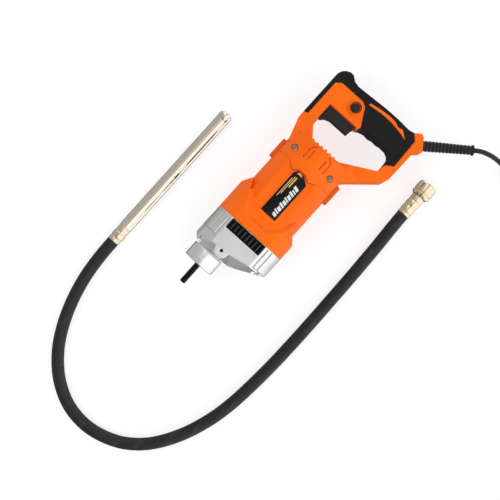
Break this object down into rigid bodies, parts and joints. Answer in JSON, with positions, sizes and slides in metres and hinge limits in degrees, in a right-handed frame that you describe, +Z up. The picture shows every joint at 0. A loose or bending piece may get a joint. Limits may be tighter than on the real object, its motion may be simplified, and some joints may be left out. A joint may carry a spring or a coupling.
{
  "type": "concrete vibrator",
  "caption": "Hand-held electric concrete vibrator with D-handle, geared motor, clamp collar and drive spindle, lying beside its detached flexible shaft and steel poker.",
  "frame": {"origin": "on the floor, under the middle of the tool, poker and coupling's box, without the hose and mains cord", "axes": "+Z up from the floor; +X along the tool from its nose to its handle; +Y across, from the coupling towards the poker"},
  "size_m": [0.8507, 0.5149, 0.103],
  "materials": {
    "cast_alloy": "fine as-cast surface, light",
    "machined_alloy": "turned, satin",
    "black_plastic": "moulded",
    "zinc_steel": "zinc plated",
    "black_steel": "black oxide, oiled",
    "gear_steel": "ground",
    "bearing_steel": "polished",
    "black_rubber": "moulded",
    "orange_plastic": "satin, fine moulded grain",
    "lamination_steel": "stacked laminations",
    "copper_wire": "enamelled wire",
    "copper_bar": "turned",
    "brass_plate": "drawn",
    "carbon": "pressed carbon",
    "spring_steel": "drawn",
    "dark_orange_plastic": "satin",
    "label_black": "printed plate",
    "grip_rubber": "soft overmould",
    "trigger_plastic": "moulded",
    "wire_sleeve": "insulated wire",
    "cord_rubber": "smooth",
    "plug_brass": "nickel plated",
    "hose_rubber": "extruded, satin",
    "pale_brass": "plated, pale gold",
    "pale_nickel": "plated, champagne",
    "polished_steel": "ground and polished"
  },
  "bodies": {
    "tool": {"gear_casing": "cast_alloy", "gear_plate": "cast_alloy", "air_vents": "black_plastic", "casing_screws": "zinc_steel", "clamp_collar": "machined_alloy", "pinch_screw": "zinc_steel", "spindle_bearings": "bearing_steel", "spindle_seal": "black_rubber", "motor_housing": "orange_plastic", "stator_core": "lamination_steel", "field_coils": "copper_wire", "rotor_front_bearing": "bearing_steel", "rotor_rear_bearing": "bearing_steel", "brush_holders": "brass_plate", "carbon_brushes": "carbon", "brush_springs": "spring_steel", "brush_covers": "dark_orange_plastic", "label_plate": "label_black", "handle_shell_upper": "orange_plastic", "handle_shell_lower": "orange_plastic", "rubber_grip_upper": "grip_rubber", "rubber_grip_lower": "grip_rubber", "grip_stripes": "orange_plastic", "handle_screws": "zinc_steel", "switch_body": "black_plastic", "cord_clamp": "black_plastic", "clamp_screws": "zinc_steel", "switch_leads": "wire_sleeve", "strain_relief": "cord_rubber", "cord_end": "cord_rubber", "mains_cord": "cord_rubber", "cord_coil": "cord_rubber", "cord_tie": "black_plastic", "plug_lead": "cord_rubber", "plug_body": "cord_rubber", "plug_pins": "plug_brass"},
    "rotor": {"rotor_shaft": "gear_steel", "armature_core": "lamination_steel", "armature_windings": "copper_wire", "commutator": "copper_bar", "fan": "black_plastic"},
    "output": {"spindle": "black_steel", "spindle_gear": "gear_steel"},
    "trigger": {"trigger": "trigger_plastic", "trigger_spring": "spring_steel"},
    "lock_button": {"lock_button": "trigger_plastic", "lock_spring": "spring_steel"},
    "flexible_shaft": {"hose": "hose_rubber", "drive_core": "spring_steel", "hose_ferrule": "pale_brass", "hose_fitting": "gear_steel", "head_ferrule": "pale_nickel", "head_bush": "brass_plate", "poker_tube": "polished_steel", "poker_tip": "polished_steel", "poker_bearings": "bearing_steel"},
    "nut": {"coupling_nut": "pale_brass"},
    "socket": {"drive_socket": "gear_steel"},
    "poker_rotor": {"eccentric": "gear_steel"}
  },
  "joints": [
    {"name": "rotor_spin", "type": "hinge", "parent": "tool", "child": "rotor", "pos_m": [-0.08639, 0.00624, 0.0515], "axis": [1, 0, 0], "continuous": true},
    {"name": "spindle_spin", "type": "hinge", "parent": "tool", "child": "output", "pos_m": [-0.08639, 0.03274, 0.0515], "axis": [1, 0, 0], "continuous": true},
    {"name": "trigger_slide", "type": "slide", "parent": "tool", "child": "trigger", "axis": [1, 0, 0], "range_m": [0, 0.007], "stiffness_N_per_m": 600, "springref_m": -0.012},
    {"name": "lock_button_slide", "type": "slide", "parent": "tool", "child": "lock_button", "axis": [0, 0, -1], "range_m": [0, 0.0035], "stiffness_N_per_m": 400, "springref_m": -0.004},
    {"name": "flexible_shaft_lift", "type": "slide", "parent": "tool", "child": "flexible_shaft", "axis": [0, 0, 1], "range_m": [0, 0.12]},
    {"name": "coupling_nut_spin", "type": "hinge", "parent": "flexible_shaft", "child": "nut", "pos_m": [0.09261, -0.14976, 0.0152], "axis": [1, 0, 0], "continuous": true},
    {"name": "drive_socket_spin", "type": "hinge", "parent": "flexible_shaft", "child": "socket", "pos_m": [0.09261, -0.14976, 0.0152], "axis": [1, 0, 0], "continuous": true},
    {"name": "poker_rotor_spin", "type": "hinge", "parent": "flexible_shaft", "child": "poker_rotor", "pos_m": [-0.23639, 0.15524, 0.0104], "axis": [1, 0, 0], "continuous": true}
  ],
  "couplings": [
    {"joint": "spindle_spin", "follows": "rotor_spin", "ratio": -0.325},
    {"joint": "drive_socket_spin", "follows": "poker_rotor_spin", "ratio": -1}
  ]
}
